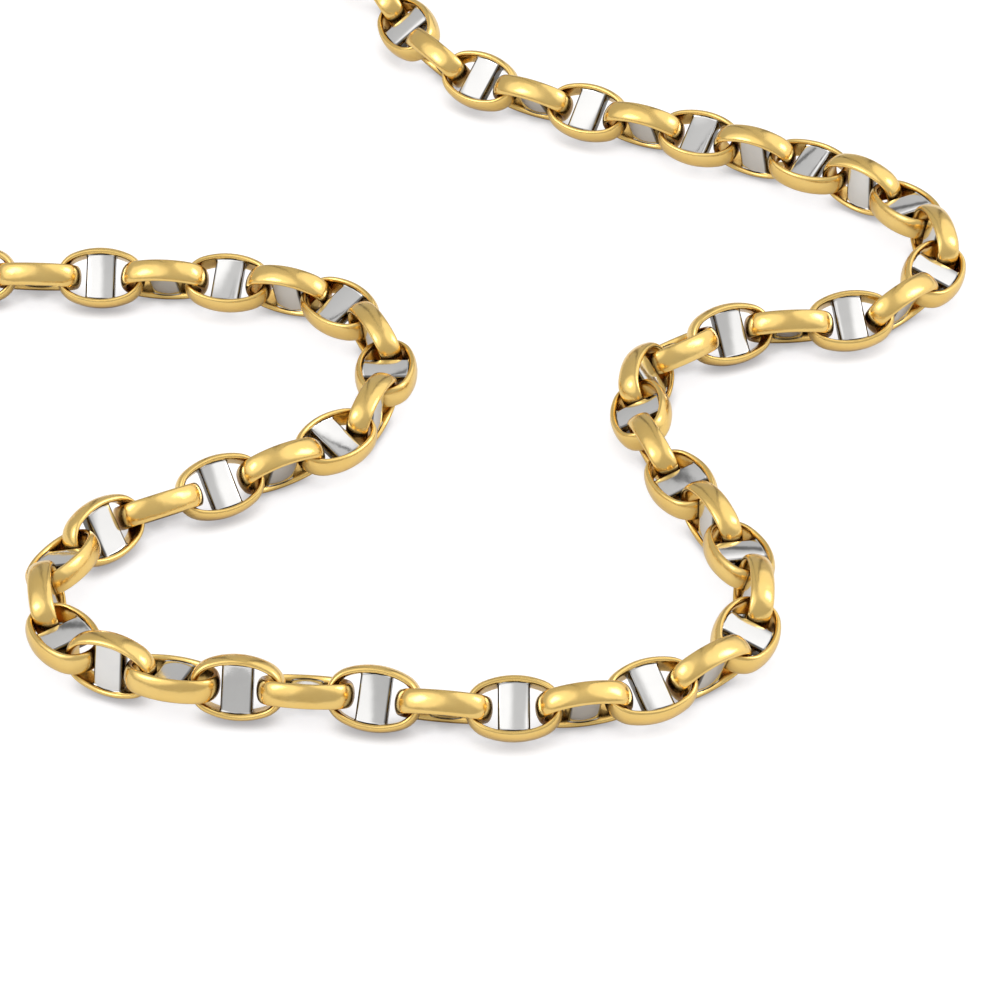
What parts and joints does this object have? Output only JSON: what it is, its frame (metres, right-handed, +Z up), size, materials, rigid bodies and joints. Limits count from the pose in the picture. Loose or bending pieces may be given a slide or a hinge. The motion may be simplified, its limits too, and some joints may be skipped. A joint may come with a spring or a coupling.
{
  "type": "mariner link necklace",
  "caption": "Mariner link neck chain closed into a loop with its clasp: interlocking oval bands, each with a flat bar across its middle, lying on a surface.",
  "frame": {"origin": "middle of the lying necklace's outline, on the surface that it rests on", "axes": "+Z up from the surface, +Y away from the viewer of the picture, +X to the right in the picture"},
  "size_m": [0.137, 0.1502, 0.0059],
  "materials": {
    "yellow_gold": "polished yellow gold",
    "white_gold": "polished white gold"
  },
  "bodies": {
    "root": {"gold_links": "yellow_gold", "white_bars": "white_gold", "clasp": "yellow_gold"}
  },
  "joints": []
}
